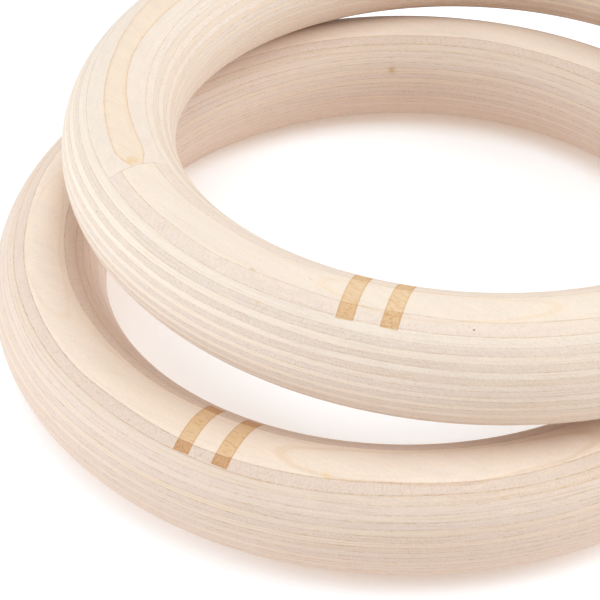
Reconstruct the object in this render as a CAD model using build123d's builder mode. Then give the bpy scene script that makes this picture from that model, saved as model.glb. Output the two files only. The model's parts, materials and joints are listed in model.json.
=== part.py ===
from build123d import *
import math
import os

# A pair of gymnastics rings, one lying across the other. Each ring is turned from
# cross-laminated plywood, so it is a pile of flat veneers with a round rim between them.
#
# Frame: +Z up, Z = 0 is the surface that the lower ring lies on, and the origin is under
# the middle of the pair. +X runs from the lower ring's centre to the upper ring's.

# Driving dimensions, in millimetres and degrees.
ring_radius = 101.5       # centre of the ring to the middle of its grip
grip_radius = 16.0        # half of the 32 mm grip
veneer_count = 22         # in each ring
veneer_thickness = 1.5
lower_crown = 1.05        # what the lathe left of the lower ring's uppermost veneer
upper_crown = 0.8         # the same on the upper ring, turned a little deeper into its block
stack_offset = 27.4       # the upper ring's centre lies this far to +X of the lower ring's
stack_tilt = 1.8          # the upper ring leans down on its +X side
crossing_rise = 32.5      # height between the grips' middles where the rings cross: 0.3 mm of air

# The pair's outline is centred on the origin along X. A ring that leans reaches a little less far.
lean = math.radians(stack_tilt)
lost_to_lean = ring_radius * (1 - math.cos(lean))
lower_x = -(stack_offset - lost_to_lean) / 2
upper_x = lower_x + stack_offset
upper_z = grip_radius + crossing_rise - stack_offset / 2 * math.tan(lean)

# The plane of each ring's radial section: its X runs outwards and its Y up the ring's axis.
lower_section = Plane(origin=(lower_x, 0, grip_radius), x_dir=(1, 0, 0), z_dir=(0, -1, 0))
upper_section = Plane(
    origin=(upper_x, 0, upper_z),
    x_dir=(math.cos(lean), 0, -math.sin(lean)),
    z_dir=(0, -1, 0),
)


def veneer_levels(crown):
    """Heights of the veneers' faces over the ring's middle, from the lowest up."""
    faces = [grip_radius - crown - veneer_thickness * step for step in range(veneer_count - 1)]
    return [-grip_radius] + faces[::-1] + [grip_radius]


def turned_veneer(section, low, high):
    """One veneer: the slice of the ring's round grip between two heights."""
    with BuildPart() as veneer:
        with BuildSketch(section):
            with Locations((ring_radius, 0)):
                Circle(grip_radius)
            with Locations((ring_radius, (low + high) / 2)):
                Rectangle(3 * grip_radius, high - low, mode=Mode.INTERSECT)
        revolve(axis=Axis(section.origin, section.y_dir))
    return veneer


os.makedirs("parts", exist_ok=True)

rings = [
    ("lower_ring", lower_section, lower_crown),
    ("upper_ring", upper_section, upper_crown),
]
for ring_name, section, crown in rings:
    levels = veneer_levels(crown)
    for number in range(1, veneer_count + 1):
        ply = turned_veneer(section, levels[number - 1], levels[number])
        ply.part.label = f"{ring_name}_ply_{number:02d}"
        export_step(ply.part, f"parts/{ply.part.label}.step")
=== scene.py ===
import bpy
import json
import math
import numpy as np
from mathutils import Matrix, Quaternion, Vector


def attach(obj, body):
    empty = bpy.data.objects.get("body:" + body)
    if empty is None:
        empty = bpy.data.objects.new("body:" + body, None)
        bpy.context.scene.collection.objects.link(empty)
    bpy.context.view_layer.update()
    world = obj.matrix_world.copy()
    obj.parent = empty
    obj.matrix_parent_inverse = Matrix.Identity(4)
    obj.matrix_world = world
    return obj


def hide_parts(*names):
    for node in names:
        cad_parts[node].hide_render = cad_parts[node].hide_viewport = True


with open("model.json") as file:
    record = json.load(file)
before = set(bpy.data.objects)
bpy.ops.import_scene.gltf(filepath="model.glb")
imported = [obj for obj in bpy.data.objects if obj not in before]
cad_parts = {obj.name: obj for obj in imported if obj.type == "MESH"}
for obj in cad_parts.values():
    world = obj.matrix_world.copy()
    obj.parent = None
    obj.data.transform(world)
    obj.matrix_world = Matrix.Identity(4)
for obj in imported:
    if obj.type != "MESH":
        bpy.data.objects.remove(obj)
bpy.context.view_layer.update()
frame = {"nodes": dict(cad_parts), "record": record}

# The looks of a pair of turned plywood rings. Veneers are worked out in millimetres in
# each ring's own frame, whose origin is the ring's centre and whose Z is its axis, and
# are scaled to the row's metres when their meshes are made.
MM = 0.001

# ---------------------------------------------------------------- driving values, in mm
STEPS_ROUND = 480         # mesh columns round a ring
RIM_STEP = 0.42           # mesh rows on the rim are about this far apart
GLUE_GROOVE = 0.10        # width of the fine groove on each side of a glue line
GLUE_DEPTH = 0.03
FULL_END_GRAIN = 0.75     # share of the grip's radius beyond which cut fibres show fully
FAR_END_GRAIN = 0.35      # how dark the far pieces' cut ends are beside the near pieces'
SHEET_SPREAD = 0.018      # how far a sheet's brightness may be from its kind's
WARMTH_SPREAD = 0.020     # and how far its blue may be, against its red
RIM_WIDTH = 0.9           # width of the tanned rim of the crown's far piece
PRESS_SWELL = 0.06        # how far the whole stack undulates
PRESS_LENGTHS = (60, 260)  # shortest and longest of its waves
SHEET_SWELL = 0.06        # how far each glue line undulates by itself
SHEET_LENGTHS = (28, 140)
HIGHEST_SINE = 0.9995     # keeps a thinned crown's glue lines just short of the very top
FLAT_STEPS = (1 / 3, 2 / 3)  # where the mesh rows lie across a veneer's flat faces
SHARP_EDGE = 50           # degrees beyond which an edge is drawn sharp
CUT_SPREAD = 400          # how far apart in the trunk the sheets may have been cut
SEED_STRIDE = 1000        # between the seeds of two rings' own sheets
JOINT_WIDTH = 0.12        # hairline between two pieces of one sheet
NEAR_THINNING = 0.12      # what the lathe took off the crown veneer's piece before its joint
FAR_THINNING = 0.27       # and off the piece beyond it
TIP_THINNING = 0.45       # and off that piece's end, which comes to a point
TIP_REACH = 5.0
WAIST_THINNING = 0.08     # and off its narrow stretch
WAIST_PLACE = 45.0
WAIST_REACH = 22.0

# Directions are in degrees round the ring's axis, from the row frame's +X.
RINGS = {
    "lower_ring": {
        "seat": "lower_strap_seat",
        "cross_grain": 18.2,         # the odd veneers' grain; the even ones' is at a right angle
        "mark": -157.3,              # where the burnt mark is
        "joint": None,               # where two pieces of the upper two veneers meet
        "thirst": (0.3, 1.3),        # how much the sheets' cut ends show, least and most
        "late_wood": 1.0,            # how much their growth layers show
        "bleed": (0.7, 1.9),         # how far their glue lines have darkened the wood
        # On the lower ring the crown is painted lighter, painted light against the upper ring's shadow
        # on it, and the other sheets darker, partly their own tone and partly painted shade.
        "sheets": {                  # colours beside the upper ring's even sheets'
            "long_grain_veneer": (0.922, 0.884, 0.882),
            "cross_grain_veneer": (0.903, 0.864, 0.885),
            "crown": (1.040, 1.025, 1.040),
        },
        "cut_ends": (0.985, 0.970, 0.965),  # what cut ends multiply the colour by
        "burn": {                    # what the burnt mark multiplies the colour by
            "long_grain_veneer": (0.87, 0.71, 0.50),
            "cross_grain_veneer": (0.80, 0.58, 0.35),
        },
        "seed": 7,
    },
    "upper_ring": {
        "seat": "upper_strap_seat",
        "cross_grain": 8.2,
        "mark": -146.3,
        "joint": 166.2,
        "thirst": (0.75, 1.1),
        "late_wood": 0.75,
        "bleed": (0.8, 1.3),
        "sheets": {
            "long_grain_veneer": (1.0, 1.0, 1.0),
            "cross_grain_veneer": (0.950, 0.925, 0.910),
            "crown": (1.0, 1.0, 1.0),
        },
        "cut_ends": (0.950, 0.960, 1.010),
        "burn": {
            "long_grain_veneer": (0.92, 0.78, 0.58),
            "cross_grain_veneer": (0.87, 0.68, 0.44),
        },
        "seed": 21,
    },
}

# Colours of the two jointed sheets' pieces, beside the ring's even sheets': the piece
# before the joint, the piece beyond it, and what the latter's rim multiplies that by.
JOINTED = {
    "crown": {"near": (1.01, 1.0, 1.0), "far": (1.005, 0.958, 0.912), "rim": (1.0, 0.92, 0.83)},
    "second": {"near": (0.985, 0.955, 0.955), "far": (0.995, 0.995, 1.015), "rim": (1.0, 1.0, 1.0)},
}

# Small natural faults: direction, height over the ring's middle, side of the grip (1 is
# outside), radius, and what they multiply the wood's colour by.
FLAWS = {
    "lower_ring": [
        {"turn": -140.4, "height": 15.2, "side": 1, "radius": 1.3, "tint": (1.0, 0.93, 0.74)},
        {"turn": 51.4, "height": 6.9, "side": -1, "radius": 2.4, "tint": (0.95, 0.89, 0.80)},
        {"turn": 51.4, "height": 6.9, "side": -1, "radius": 1.2, "tint": (0.88, 0.81, 0.71)},
    ],
    "upper_ring": [
        {"turn": 164.7, "height": 15.99, "side": 1, "radius": 2.6, "tint": (0.97, 0.88, 0.70)},
        {"turn": -133.0, "height": 14.5, "side": 1, "radius": 0.40, "tint": (0.50, 0.46, 0.44)},
        {"turn": -160.5, "height": 12.1, "side": 1, "radius": 0.9, "tint": (1.0, 0.94, 0.76)},
        {"turn": 168.7, "height": 8.3, "side": 1, "radius": 0.45, "tint": (0.74, 0.70, 0.66)},
    ],
}

# Ovals that the growth layers draw on the crown veneers: direction of the middle, where it
# lies across the grip in degrees of tube angle, half length, half width, width of the line
# in mm, and what the line multiplies the wood's colour by.
OVALS = {
    "lower_ring": [
        (-124.8, 87.0, 38.0, 5.6, 0.55, (0.95, 0.90, 0.84)),
        (150.0, 88.0, 32.0, 5.2, 0.50, (0.98, 0.96, 0.93)),
    ],
    "upper_ring": [(-138.0, 88.7, 29.0, 4.9, 0.50, (0.99, 0.95, 0.89))],
}

# ---------------------------------------------------------------- what the frame gives
seats = {mount["name"]: mount for mount in frame["record"]["mounts"]}
ring_nodes = {name: sorted(nodes) for name, nodes in frame["record"]["behaviour"]["bodies"].items()}
RING_RADIUS = seats["lower_strap_seat"]["pos_m"][1] / MM
GRIP_RADIUS = seats["lower_strap_seat"]["pos_m"][2] / MM


def ring_frame(seat):
    """A ring's own frame in the row frame, from the strap seat at its +Y side."""
    reach = Vector((0, seat["pos_m"][1], 0))
    outward = Vector(seat["axis"]).normalized()
    axes = Matrix((outward, Vector((0, 1, 0)), outward.cross(Vector((0, 1, 0))))).transposed()
    return Matrix.Translation(Vector(seat["pos_m"]) - reach) @ axes.to_4x4()


def glue_heights(nodes, axes):
    """Heights of a ring's glue lines over its middle: the tops of all its veneers but the crown."""
    into_ring = axes.inverted()
    heights = []
    for node in nodes[:-1]:
        points = [into_ring @ vertex.co for vertex in frame["nodes"][node].data.vertices]
        heights.append(max(point.z for point in points) / MM)
    return heights


# ---------------------------------------------------------------- veneers as meshes
class Swell:
    """A smooth random height over the ring's plane: a few plane waves."""

    def __init__(self, rng, amplitude, shortest, longest, waves=7):
        self.lengths = np.exp(rng.uniform(math.log(shortest), math.log(longest), waves))
        self.headings = rng.uniform(0, 2 * math.pi, waves)
        self.phases = rng.uniform(0, 2 * math.pi, waves)
        self.amplitude = amplitude * math.sqrt(2 / waves)

    def __call__(self, x, y):
        total = 0
        for length, heading, phase in zip(self.lengths, self.headings, self.phases):
            along = x * math.cos(heading) + y * math.sin(heading)
            total = total + np.cos(2 * math.pi * along / length + phase)
        return self.amplitude * total


def columns(joint):
    """Angles of the mesh columns, with a close pair of them where a crown joint crosses the grip."""
    turn = np.arange(STEPS_ROUND) * 2 * math.pi / STEPS_ROUND
    if joint is not None:
        half = JOINT_WIDTH / 2 / RING_RADIUS
        crossings = np.radians([joint % 360, (joint + 180) % 360])
        turn = np.sort(np.concatenate([turn, crossings - half, crossings + half]))
    return turn


def beyond_joint(joint, turn):
    """How far past the line of the crown joint each column lies, in mm; negative on the near side."""
    return RING_RADIUS * -np.sin(turn - math.radians(joint))


def crown_thinning(joint, turn):
    """How much the lathe took off the two pieces of the crown veneer, for every column."""
    past = beyond_joint(joint, turn)
    tip = TIP_THINNING * np.exp(-(past / TIP_REACH) ** 2)
    waist = WAIST_THINNING * np.exp(-((past - WAIST_PLACE) / WAIST_REACH) ** 2)
    return np.where(past > 0, FAR_THINNING + tip + waist, NEAR_THINNING)


def glue_lines(ring, rng):
    """Tube angles of each glue line on the outer and the inner side, for every column."""
    turn = ring["turn"]
    press = Swell(rng, PRESS_SWELL, *PRESS_LENGTHS)
    lines = []
    for height in ring["glue_heights"]:
        sheet = Swell(rng, SHEET_SWELL, *SHEET_LENGTHS)
        pair = []
        for side in (1, -1):
            half_width = math.sqrt(GRIP_RADIUS ** 2 - height ** 2)
            radius = RING_RADIUS + side * half_width
            x, y = radius * np.cos(turn), radius * np.sin(turn)
            lifted = height + press(x, y) + sheet(x, y)
            if ring["joint"] is not None and height == ring["glue_heights"][-1]:
                lifted = lifted + crown_thinning(ring["joint"], turn)
            pair.append(np.arcsin(np.clip(lifted / GRIP_RADIUS, -HIGHEST_SINE, HIGHEST_SINE)))
        lines.append(pair)
    return lines


def rim_rows(start, end):
    """Rows of a rim from one glue line to the next, as tube angles, and their distance to the glue."""
    rows = max(2, round(float(np.mean(end - start)) * GRIP_RADIUS / RIM_STEP))
    edge = GLUE_GROOVE / GRIP_RADIUS
    inner = [start + edge + (end - start - 2 * edge) * step / rows for step in range(rows + 1)]
    angles = [start] + inner + [end]
    glue = [GRIP_RADIUS * np.minimum(angle - start, end - angle) for angle in angles]
    return angles, glue


def veneer_section(number, lines):
    """The outline of one veneer in every column: radius, height, distance to the glue."""
    low = lines[number - 2] if number > 1 else None
    high = lines[number - 1] if number <= len(lines) else None
    if high is None:
        rims = [rim_rows(low[0], math.pi - low[1])]
    elif low is None:
        rims = [rim_rows(math.pi - high[1], 2 * math.pi + high[0])]
    else:
        rims = [rim_rows(low[0], high[0]), rim_rows(math.pi - high[1], math.pi - low[1])]
    radius, height, glue = [], [], []
    for place, (angles, distances) in enumerate(rims):
        for angle, distance in zip(angles, distances):
            grip = GRIP_RADIUS - GLUE_DEPTH * np.clip(1 - distance / GLUE_GROOVE, 0, 1)
            radius.append(RING_RADIUS + grip * np.cos(angle))
            height.append(grip * np.sin(angle))
            glue.append(distance)
        following = rims[(place + 1) % len(rims)][0][0]
        groove = GRIP_RADIUS - GLUE_DEPTH
        start_radius, start_height = groove * np.cos(angles[-1]), groove * np.sin(angles[-1])
        end_radius, end_height = groove * np.cos(following), groove * np.sin(following)
        for share in FLAT_STEPS:
            radius.append(RING_RADIUS + start_radius + (end_radius - start_radius) * share)
            height.append(start_height + (end_height - start_height) * share)
            glue.append(np.zeros(len(following)))
    return np.array(radius), np.array(height), np.array(glue)


def ring_faces(column_count, row_count):
    """Quads of a closed ring of columns, each of them a closed loop of rows."""
    column = np.arange(column_count)[:, None]
    row = np.arange(row_count)[None, :]
    this, following = column * row_count, (column + 1) % column_count * row_count
    after = (row + 1) % row_count
    faces = np.stack([this + row, following + row, following + after, this + after], -1)
    return faces.reshape(-1, 4)


def store(mesh, name, kind, values):
    """Keeps one value per point on the mesh."""
    attribute = mesh.attributes.new(name, kind, "POINT")
    field = "vector" if kind == "FLOAT_VECTOR" else "value"
    attribute.data.foreach_set(field, np.asarray(values, np.float32).ravel())


def wood_of(number):
    """Which of the two sorts of sheet a veneer is: their grains cross."""
    return "cross_grain_veneer" if number % 2 == 1 else "long_grain_veneer"


def sheet_tone_and_painted_light(ring, number, rng):
    """A sheet's colour beside its ring's others: its own tone, with painted light on the lower ring's
    crown and painted shade on its other sheets.
    """
    brightness = 1 + rng.uniform(-SHEET_SPREAD, SHEET_SPREAD)
    warmth = rng.uniform(-WARMTH_SPREAD, WARMTH_SPREAD)
    crown = number > len(ring["glue_lines"])
    kind = np.array(ring["sheets"]["crown" if crown else wood_of(number)])
    return kind * brightness * (1 + warmth / 2, 1, 1 - warmth)


def veneer_mesh(name, ring, number, rng):
    """A closed ring of wood, with what the veneer shader reads stored on its points."""
    turn = ring["turn"]
    radius, height, glue = veneer_section(number, ring["glue_lines"])
    local = np.stack([radius * np.cos(turn), radius * np.sin(turn), height], -1)
    local = local.transpose(1, 0, 2).reshape(-1, 3)
    axes = np.array(ring["frame"].to_3x3())
    centre = np.array(ring["frame"].translation)
    mesh = bpy.data.meshes.new(name)
    faces = ring_faces(len(turn), len(radius))
    mesh.from_pydata((local * MM @ axes.T + centre).tolist(), [], faces.tolist())
    mesh.shade_smooth()
    mesh.set_sharp_from_angle(angle=math.radians(SHARP_EDGE))

    turned = 0 if wood_of(number) == "cross_grain_veneer" else 90
    heading = math.radians(ring["cross_grain"] + turned)
    along = np.array([math.cos(heading), math.sin(heading), 0])
    across = np.array([-math.sin(heading), math.cos(heading), 0])
    cut_from = rng.uniform(-CUT_SPREAD, CUT_SPREAD, 3)
    tint = sheet_tone_and_painted_light(ring, number, rng)
    thirst = rng.uniform(*ring["thirst"])
    grain = np.stack([local @ along, local @ across, local[:, 2]], -1) + cut_from
    plan = np.hypot(local[:, 0], local[:, 1])
    outward = np.clip(np.abs(plan - RING_RADIUS) / (FULL_END_GRAIN * GRIP_RADIUS), 0, 1)
    end_grain = thirst * ((local @ along) / plan) ** 2 * outward ** 2 * (3 - 2 * outward)
    glue = glue.T.ravel()
    tints = np.tile(tint, (len(local), 1))
    sheets_under_crown = len(ring["glue_lines"])
    if ring["joint"] is not None and number >= sheets_under_crown:
        past = np.repeat(beyond_joint(ring["joint"], turn), len(radius))
        far = past > 0
        pieces = JOINTED["crown" if number > sheets_under_crown else "second"]
        grain[far] += rng.uniform(-CUT_SPREAD, CUT_SPREAD, 3)
        end_grain[far] *= FAR_END_GRAIN
        tints[:] = np.where(far[:, None], pieces["far"], pieces["near"])
        rim = np.clip(1 - glue / RIM_WIDTH, 0, 1) * far
        tints *= 1 - rim[:, None] * (1 - np.array(pieces["rim"]))
        glue = np.minimum(glue, np.abs(past))
    store(mesh, "grain_mm", "FLOAT_VECTOR", grain)
    store(mesh, "ring_mm", "FLOAT_VECTOR", local)
    store(mesh, "end_grain", "FLOAT", end_grain)
    own_rng = np.random.default_rng(SEED_STRIDE * ring["seed"] + number)
    bleed = own_rng.uniform(*ring["bleed"])
    store(mesh, "glue_mm", "FLOAT", glue / bleed)
    store(mesh, "sheet_tone_and_painted_light", "FLOAT_VECTOR", tints)
    return mesh


# ---------------------------------------------------------------- shader building
class Nodes:
    """Short names for the shader nodes that the materials use."""

    def __init__(self, name):
        self.material = bpy.data.materials.new(name)
        self.material.use_nodes = True
        self.tree = self.material.node_tree
        self.shader = self.tree.nodes["Principled BSDF"]

    def new(self, kind, **settings):
        node = self.tree.nodes.new(kind)
        for name, value in settings.items():
            setattr(node, name, value)
        return node

    def put(self, socket, value):
        if isinstance(value, bpy.types.NodeSocket):
            self.tree.links.new(value, socket)
        else:
            socket.default_value = value

    def attribute(self, name, output="Fac"):
        return self.new("ShaderNodeAttribute", attribute_name=name).outputs[output]

    def math(self, operation, *values):
        node = self.new("ShaderNodeMath", operation=operation)
        for socket, value in zip(node.inputs, values):
            self.put(socket, value)
        return node.outputs[0]

    def times(self, first, second):
        return self.math("MULTIPLY", first, second)

    def vector(self, operation, *values, output="Vector"):
        node = self.new("ShaderNodeVectorMath", operation=operation)
        for socket, value in zip(node.inputs, values):
            self.put(socket, value)
        return node.outputs[output]

    def scaled(self, vector, factor):
        node = self.new("ShaderNodeVectorMath", operation="SCALE")
        self.put(node.inputs["Vector"], vector)
        self.put(node.inputs["Scale"], factor)
        return node.outputs["Vector"]

    def noise(self, place, size, detail=2.0, roughness=0.5):
        """Noise from 0 to 1, whose features have that size along, across and through the sheet."""
        node = self.new("ShaderNodeTexNoise", noise_dimensions="3D")
        self.put(node.inputs["Vector"], self.vector("DIVIDE", place, size))
        self.put(node.inputs["Scale"], 1.0)
        self.put(node.inputs["Detail"], detail)
        self.put(node.inputs["Roughness"], roughness)
        return node.outputs["Fac"]

    def ramp(self, value, low, high):
        """A smooth step from 0 at low to 1 at high; low may be the larger."""
        node = self.new("ShaderNodeMapRange", interpolation_type="SMOOTHSTEP")
        self.put(node.inputs["Value"], value)
        self.put(node.inputs["From Min"], low)
        self.put(node.inputs["From Max"], high)
        return node.outputs["Result"]

    def mix(self, share, first, second, blend="MIX"):
        node = self.new("ShaderNodeMix", data_type="RGBA", blend_type=blend)
        self.put(node.inputs[0], share)
        self.put(node.inputs[6], first)
        self.put(node.inputs[7], second)
        return node.outputs[2]

    def tinted(self, share, colour, tint):
        """The colour, multiplied by the tint where share is 1."""
        return self.mix(share, colour, (*tint, 1.0), "MULTIPLY")


# ---------------------------------------------------------------- wood
BIRCH = (0.725, 0.570, 0.455, 1.0)

# What the wood's colour is multiplied by.
WARM = (1.0, 0.960, 0.900)
COOL = (0.970, 0.965, 1.0)
LATE_WOOD = (0.91, 0.84, 0.74)
CHECK = (0.90, 0.86, 0.82)
FLECK = (0.84, 0.76, 0.66)
STREAK = (0.95, 0.91, 0.85)
PORE = (0.90, 0.85, 0.79)
GLUE = (0.78, 0.66, 0.50)

# Sizes of the wood's features in mm: along the fibres, across them in the sheet, and through it.
FIBRE_SIZE = (16, 0.55, 0.30)
STREAK_SIZE = (70, 4.0, 0.6)
PORE_SIZE = (2.6, 0.34, 0.34)
GRIT_SIZE = (0.9, 0.42, 0.36)
CAST_SIZE = (110, 45, 6)
FLECK_SIZE = (13.0, 3.4, 3.4)
FLECK_RARITY = 0.965
DASH_SIZE = (2.6, 2.6, 6.0)
LAYER_ROLL = (80, 26, 20)
LAYER_PATCH = (45, 16, 3)
LAYER_DEPTH = 0.8             # from one growth layer to the next
CHECK_BEND = (30, 4, 4)
CHECK_PATCH = (40, 9, 2)
CHECKS_PER_MM = (0.52, 0.80)  # across the sheet and through it, which sets their slant
CROWN_STARTS = 12.0           # height over the ring's middle where the rim turns flat
BUMP_HEIGHT = 0.03 * MM


def growth_layers(n, grain, through, height):
    """Late wood: thin layers nearly flat in a rotary-cut sheet; they fade where the rim is flat."""
    roll = n.noise(grain, LAYER_ROLL, detail=1.5)
    depth = n.math("ADD", n.times(through, 1 / LAYER_DEPTH), n.times(roll, 2.2))
    layer = n.math("FRACT", depth)
    late = n.times(n.ramp(layer, 0.55, 0.93), n.ramp(layer, 1.0, 0.95))
    patch = n.noise(grain, LAYER_PATCH)
    slope = n.math("SUBTRACT", 1.0, n.times(n.ramp(height, CROWN_STARTS, 14.8), 0.8))
    return n.times(n.times(late, n.ramp(patch, 0.35, 0.7)), slope)


def lathe_checks(n, grain, across, through, ends):
    """Fine slanting cracks that the knife leaves in a sheet, which show where its fibres end."""
    bend = n.noise(grain, CHECK_BEND)
    slant = n.math("SUBTRACT", n.times(across, CHECKS_PER_MM[0]), n.times(through, CHECKS_PER_MM[1]))
    spacing = n.math("FRACT", n.math("ADD", slant, n.times(bend, 0.7)))
    line = n.times(n.ramp(spacing, 0.88, 0.97), n.ramp(spacing, 1.0, 0.985))
    patch = n.noise(grain, CHECK_PATCH)
    return n.times(n.times(line, n.ramp(patch, 0.40, 0.62)), n.ramp(ends, 0.05, 0.5))


def oval_line(n, oval, place, colour):
    """The colour with the faint outline of an oval on it, which lies along the crown."""
    turn, tube, half_length, half_width, width, tint = oval
    heading = math.radians(turn)
    sideways = (-math.sin(heading), math.cos(heading), 0.0)
    outward = (math.cos(heading), math.sin(heading), 0.0)
    flat = n.vector("MULTIPLY", place, (1.0, 1.0, 0.0))
    height = n.vector("DOT_PRODUCT", place, (0, 0, 1), output="Value")
    plan = n.vector("LENGTH", flat, output="Value")
    angle = n.math("ARCTAN2", height, n.math("SUBTRACT", plan, RING_RADIUS))
    along = n.times(n.vector("DOT_PRODUCT", place, sideways, output="Value"), 1 / half_length)
    across = n.times(n.math("SUBTRACT", angle, math.radians(tube)), GRIP_RADIUS / half_width)
    round_it = n.math("SQRT", n.math("ADD", n.times(along, along), n.times(across, across)))
    wander = n.noise(place, (22, 22, 22), detail=1.0)
    round_it = n.math("ADD", round_it, n.times(n.math("SUBTRACT", wander, 0.5), 0.5))
    away = n.times(n.math("ABSOLUTE", n.math("SUBTRACT", round_it, 1.0)), half_width)
    facing = n.math("GREATER_THAN", n.vector("DOT_PRODUCT", place, outward, output="Value"), 0.0)
    return n.tinted(n.times(n.ramp(away, width, width * 0.2), facing), colour, tint)


def veneer_material(name, ring, burn, flaws, ovals):
    """Rotary-cut birch: fibres, growth layers, pores, end grain, flecks and dashed glue lines."""
    n = Nodes(name)
    grain = n.attribute("grain_mm", "Vector")
    place = n.attribute("ring_mm", "Vector")
    glue = n.attribute("glue_mm")
    ends = n.attribute("end_grain")
    across = n.vector("DOT_PRODUCT", grain, (0, 1, 0), output="Value")
    through = n.vector("DOT_PRODUCT", grain, (0, 0, 1), output="Value")
    height = n.vector("DOT_PRODUCT", place, (0, 0, 1), output="Value")

    fibres = n.noise(grain, FIBRE_SIZE, detail=3.0, roughness=0.65)
    streaks = n.noise(grain, STREAK_SIZE)
    pores = n.noise(grain, PORE_SIZE, detail=1.0)
    grit = n.noise(grain, GRIT_SIZE, detail=1.0)
    cast = n.noise(grain, CAST_SIZE, detail=1.0)

    # The sheet colours carry the lower ring's painted light on its crown and painted shade on its
    # other sheets.
    colour = n.mix(1.0, n.attribute("sheet_tone_and_painted_light", "Vector"), BIRCH, "MULTIPLY")
    colour = n.tinted(ends, colour, ring["cut_ends"])
    warmth = n.times(n.math("SUBTRACT", cast, 0.5), 2.0)
    warmth = n.math("ADD", warmth, n.times(n.math("SUBTRACT", streaks, 0.5), 1.6))
    colour = n.tinted(n.ramp(warmth, 0.0, 1.2), colour, WARM)
    colour = n.tinted(n.ramp(warmth, 0.0, -1.2), colour, COOL)
    colour = n.tinted(n.times(n.ramp(fibres, 0.50, 0.70), 0.80), colour, STREAK)
    late = n.times(growth_layers(n, grain, through, height), ring["late_wood"])
    colour = n.tinted(late, colour, LATE_WOOD)
    colour = n.tinted(lathe_checks(n, grain, across, through, ends), colour, CHECK)

    # The small changes of brightness, added up round 1.
    gritty = n.math("ADD", 0.10, n.times(ends, 0.20))
    level = n.math("ADD", 1.0, n.times(n.math("SUBTRACT", grit, 0.5), gritty))
    for value, strength in ((fibres, 0.09), (streaks, 0.13), (pores, 0.08)):
        level = n.math("ADD", level, n.times(n.math("SUBTRACT", value, 0.5), strength))
    colour = n.scaled(colour, level)
    open_pores = n.times(n.ramp(pores, 0.56, 0.70), n.math("ADD", 0.30, n.times(ends, 0.9)))
    colour = n.tinted(open_pores, colour, PORE)

    # Pith flecks: rare short brown dashes along the fibres.
    flecks = n.new("ShaderNodeTexVoronoi", feature="F1")
    n.put(flecks.inputs["Vector"], n.vector("DIVIDE", grain, FLECK_SIZE))
    n.put(flecks.inputs["Scale"], 1.0)
    choice = n.vector("DOT_PRODUCT", flecks.outputs["Color"], (1, 0, 0), output="Value")
    chosen = n.math("GREATER_THAN", choice, FLECK_RARITY)
    near = n.ramp(flecks.outputs["Distance"], 0.12, 0.04)
    colour = n.tinted(n.times(near, chosen), colour, FLECK)

    # Glue shows as short dashes along the joint between two veneers.
    dashes = n.noise(grain, DASH_SIZE, detail=3.0, roughness=0.7)
    glue_share = n.math("ADD", 0.16, n.times(n.ramp(dashes, 0.50, 0.62), 0.60))
    glue_share = n.math("ADD", glue_share, n.times(n.ramp(height, CROWN_STARTS, 13.0), 0.20))
    colour = n.tinted(n.times(n.ramp(glue, 0.17, 0.04), glue_share), colour, GLUE)

    for oval in ovals:
        colour = oval_line(n, oval, place, colour)
    for flaw in flaws:
        colour = flawed(n, flaw, place, fibres, colour)
    colour = burnt(n, ring["mark"], burn, place, fibres, pores, colour)
    n.put(n.shader.inputs["Base Color"], colour)

    rough = n.math("ADD", 0.50, n.times(fibres, 0.16))
    n.put(n.shader.inputs["Roughness"], n.math("ADD", rough, n.times(ends, 0.08)))
    n.shader.inputs["Specular IOR Level"].default_value = 0.35
    bump = n.new("ShaderNodeBump")
    bump.inputs["Distance"].default_value = BUMP_HEIGHT
    bump.inputs["Strength"].default_value = 0.6
    n.put(bump.inputs["Height"], n.math("ADD", fibres, n.times(pores, 0.5)))
    n.put(n.shader.inputs["Normal"], bump.outputs["Normal"])
    return n.material


def flawed(n, flaw, place, fibres, colour):
    """The colour with a small soft-edged spot in it, such as a pin knot."""
    heading = math.radians(flaw["turn"])
    half_width = math.sqrt(GRIP_RADIUS ** 2 - flaw["height"] ** 2)
    radius = RING_RADIUS + flaw["side"] * half_width
    centre = (radius * math.cos(heading), radius * math.sin(heading), flaw["height"])
    away = n.vector("DISTANCE", place, centre, output="Value")
    away = n.math("ADD", away, n.times(n.math("SUBTRACT", fibres, 0.5), flaw["radius"]))
    return n.tinted(n.ramp(away, flaw["radius"], flaw["radius"] * 0.3), colour, flaw["tint"])


# The burnt mark: two plain bars across the grip.
BAR_WIDTH = 4.4
BAR_SPACING = 11.0
MARK_FROM = math.radians(58)   # tube angles of the bars' ends
MARK_TO = math.radians(128)
MARK_EDGE = 0.10               # half width of the soft edge
CHAR = (0.86, 0.74, 0.60)      # what the bars' edges and pores multiply their colour by


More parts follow.
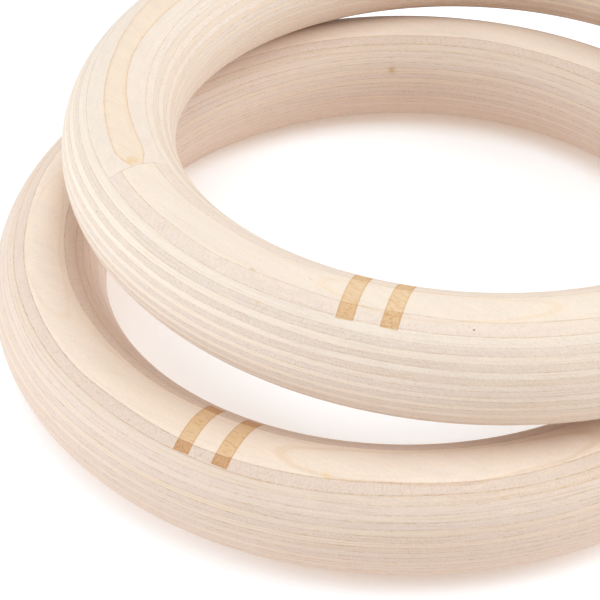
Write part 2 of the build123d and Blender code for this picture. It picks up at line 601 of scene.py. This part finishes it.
def burnt(n, turn, burn, place, fibres, pores, colour):
    """The colour with a plain two-bar mark burnt into it, darker at its edges and in the pores."""
    heading = math.radians(turn)
    outward = (math.cos(heading), math.sin(heading), 0.0)
    sideways = (-math.sin(heading), math.cos(heading), 0.0)
    reach = n.vector("DOT_PRODUCT", place, outward, output="Value")
    aside = n.vector("DOT_PRODUCT", place, sideways, output="Value")
    height = n.vector("DOT_PRODUCT", place, (0, 0, 1), output="Value")
    tube = n.math("ARCTAN2", height, n.math("SUBTRACT", reach, RING_RADIUS))
    from_middle = n.math("ABSOLUTE", n.math("SUBTRACT", n.math("ABSOLUTE", aside), BAR_SPACING / 2))
    ragged = n.times(n.math("SUBTRACT", fibres, 0.5), 0.3)
    inside = n.math("SUBTRACT", n.math("ADD", BAR_WIDTH / 2, ragged), from_middle)
    middle_angle, half_angle = (MARK_TO + MARK_FROM) / 2, (MARK_TO - MARK_FROM) / 2
    from_centre = n.math("ABSOLUTE", n.math("SUBTRACT", tube, middle_angle))
    inside_ends = n.times(n.math("SUBTRACT", half_angle, from_centre), GRIP_RADIUS)
    depth = n.math("MINIMUM", inside, inside_ends)
    mask = n.times(n.ramp(depth, -MARK_EDGE, MARK_EDGE), n.math("GREATER_THAN", reach, 0.0))
    colour = n.tinted(mask, colour, burn)
    speckle = n.math("MAXIMUM", n.ramp(depth, 0.5, 0.1), n.ramp(pores, 0.52, 0.66))
    return n.tinted(n.times(mask, n.times(speckle, 0.8)), colour, CHAR)


# ---------------------------------------------------------------- the two rings
for ring_name, ring in RINGS.items():
    nodes = ring_nodes[ring_name]
    rng = np.random.default_rng(ring["seed"])
    ring["frame"] = ring_frame(seats[ring["seat"]])
    ring["glue_heights"] = glue_heights(nodes, ring["frame"])
    ring["turn"] = columns(ring["joint"])
    ring["glue_lines"] = glue_lines(ring, rng)
    birch = {}
    for wood, burn in ring["burn"].items():
        name = f"{ring_name}_{wood}"
        birch[wood] = veneer_material(name, ring, burn, FLAWS[ring_name], OVALS[ring_name])
    for number, node in enumerate(nodes, start=1):
        mesh = veneer_mesh(f"veneer_{node}", ring, number, rng)
        wood = wood_of(number)
        mesh.materials.append(birch[wood])
        piece = bpy.data.objects.new(f"veneer_{node}", mesh)
        bpy.context.scene.collection.objects.link(piece)
        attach(piece, ring_name)
        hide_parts(node)


# ---------------------------------------------------------------- floor, light, camera
FLOOR_HALF = 3.0
FLOOR_COLOUR = (0.77, 0.775, 0.80, 1)
FLOOR_ROUGHNESS = 0.7
FLOOR_GLOW = (1.0, 0.83, 0.68, 1)   # painted light: the floor glows warm, though it is no lamp, to lift and warm the shadows
FLOOR_GLOW_STRENGTH = 0.29
WORLD_COLOUR = (0.92, 0.94, 0.93, 1)
WORLD_STRENGTH = 0.74
floor_mesh = bpy.data.meshes.new("floor")
corners = [(-FLOOR_HALF, -FLOOR_HALF, 0), (FLOOR_HALF, -FLOOR_HALF, 0),
           (FLOOR_HALF, FLOOR_HALF, 0), (-FLOOR_HALF, FLOOR_HALF, 0)]
floor_mesh.from_pydata(corners, [], [(0, 1, 2, 3)])
paper = Nodes("white_floor")
paper.shader.inputs["Base Color"].default_value = FLOOR_COLOUR
paper.shader.inputs["Roughness"].default_value = FLOOR_ROUGHNESS
# Painted light: the floor's warm glow.
paper.shader.inputs["Emission Color"].default_value = FLOOR_GLOW
paper.shader.inputs["Emission Strength"].default_value = FLOOR_GLOW_STRENGTH
floor_mesh.materials.append(paper.material)
floor = bpy.data.objects.new("floor", floor_mesh)
bpy.context.scene.collection.objects.link(floor)

world = bpy.data.worlds.new("studio")
world.use_nodes = True
backdrop = world.node_tree.nodes["Background"]
backdrop.inputs["Color"].default_value = WORLD_COLOUR
backdrop.inputs["Strength"].default_value = WORLD_STRENGTH
bpy.context.scene.world = world

# Softboxes: distance from the origin in m, heading round the row frame's Z and elevation in
# degrees, size in m, power in W, and colour.
SOFTBOXES = {
    "overhead": (1.5, -128, 80, 1.0, 9.2, (0.73, 0.90, 1.0)),
    "left": (1.5, 146, 20, 0.9, 15.2, (0.68, 0.86, 1.0)),
    "right": (1.5, -38, 28, 0.9, 17.2, (0.75, 0.90, 1.0)),
    "front": (1.5, -128, 35, 1.0, 0.4, (0.95, 0.97, 1.0)),
}
for name, (distance, heading, elevation, size, power, colour) in SOFTBOXES.items():
    light = bpy.data.lights.new(name, "AREA")
    light.shape = "SQUARE"
    light.size = size
    light.energy = power
    light.color = colour
    level = distance * math.cos(math.radians(elevation))
    lamp = bpy.data.objects.new(name, light)
    lamp.location = (
        level * math.cos(math.radians(heading)),
        level * math.sin(math.radians(heading)),
        distance * math.sin(math.radians(elevation)),
    )
    lamp.rotation_euler = (-lamp.location).to_track_quat("-Z", "Y").to_euler()
    lamp.visible_camera = False
    bpy.context.scene.collection.objects.link(lamp)

CAMERA_LENS = 107.08      # mm, as is the sensor's width
SENSOR_WIDTH = 36.0
CAMERA_PLACE = Vector((-0.28010, -0.30678, 0.33922))
CAMERA_AIM = Vector((-0.04915, 0.00233, 0.01600))
CAMERA_ROLL = math.radians(-2.09)
camera_data = bpy.data.cameras.new("camera")
camera_data.lens = CAMERA_LENS
camera_data.sensor_width = SENSOR_WIDTH
camera = bpy.data.objects.new("camera", camera_data)
facing = (CAMERA_AIM - CAMERA_PLACE).to_track_quat("-Z", "Y")
camera.location = CAMERA_PLACE
camera.rotation_euler = (facing @ Quaternion((0, 0, 1), CAMERA_ROLL)).to_euler()
bpy.context.scene.collection.objects.link(camera)
bpy.context.scene.camera = camera

bpy.context.scene.view_settings.view_transform = "Standard"
bpy.context.scene.view_settings.look = "None"
bpy.context.scene.view_settings.exposure = 0.0
